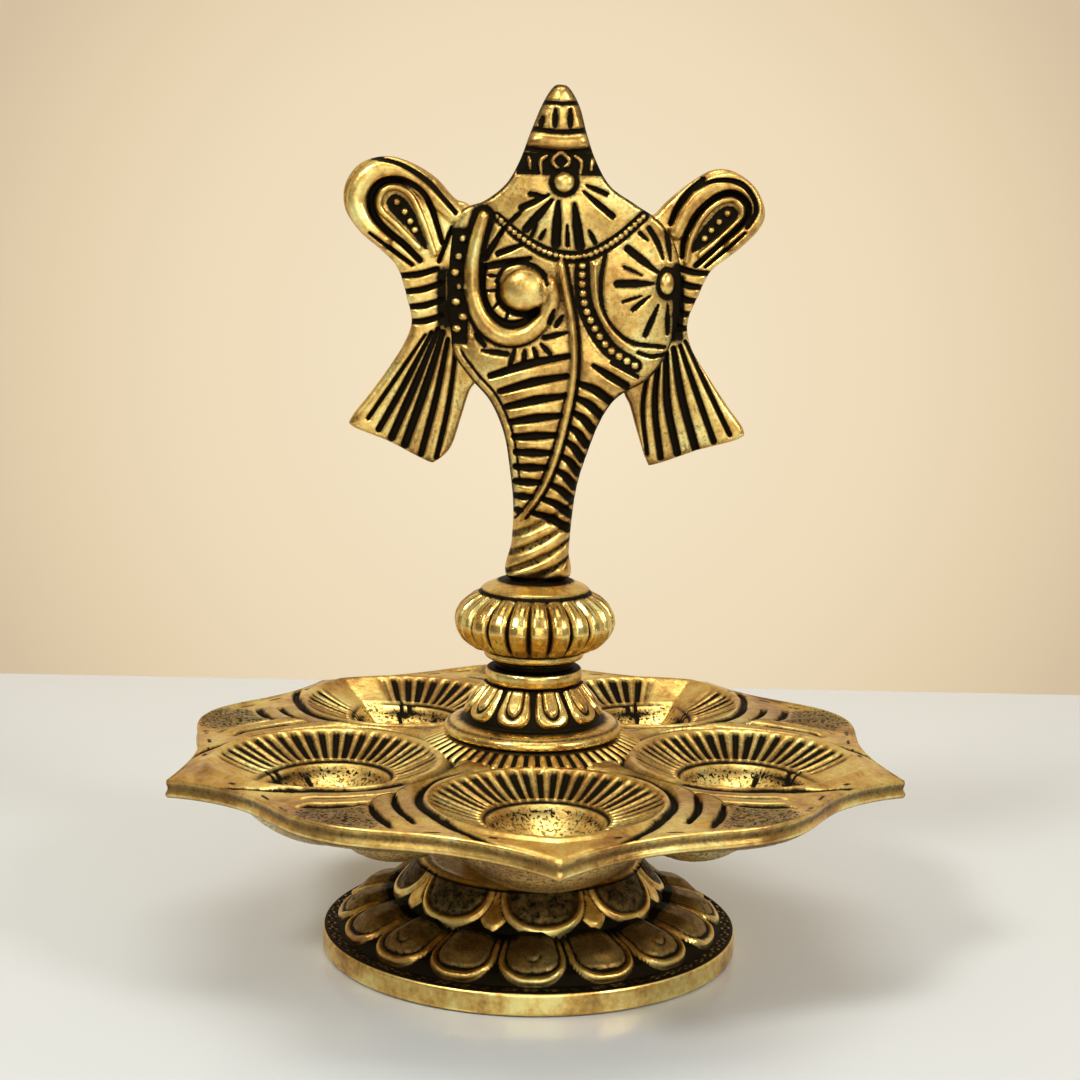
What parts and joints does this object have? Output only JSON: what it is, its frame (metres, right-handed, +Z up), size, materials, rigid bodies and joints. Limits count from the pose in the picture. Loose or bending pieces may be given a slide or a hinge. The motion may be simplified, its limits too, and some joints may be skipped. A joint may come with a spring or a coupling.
{
  "type": "diya oil lamp",
  "caption": "Standing diya oil lamp: lotus foot, petal tray of wick wells, turned bell, ring and melon knob, and a flat conch emblem with ribbon bows on top.",
  "frame": {"origin": "centre of the foot's underside, on the axis of the threaded rod", "axes": "+Z up along the rod, the emblem's front faces -Y, +X to the right seen from the front"},
  "size_m": [0.1565, 0.1599, 0.1902],
  "materials": {
    "cast_brass": "antique, dark in the recesses and rubbed bright on the ridges",
    "turned_brass": "antique, burnished",
    "zinc_steel": "zinc plated"
  },
  "bodies": {
    "base": {"lotus_foot": "cast_brass", "petal_tray": "cast_brass", "stem_bell": "turned_brass", "neck_ring": "turned_brass", "melon_knob": "turned_brass", "tie_rod": "zinc_steel", "flat_washer": "zinc_steel", "spring_washer": "zinc_steel", "hex_nut": "zinc_steel"},
    "finial": {"conch_finial": "cast_brass"}
  },
  "joints": [
    {"name": "finial_turn", "type": "hinge", "parent": "base", "child": "finial", "pos_m": [0, 0, 0.0836], "axis": [0, 0, 1], "continuous": true}
  ]
}
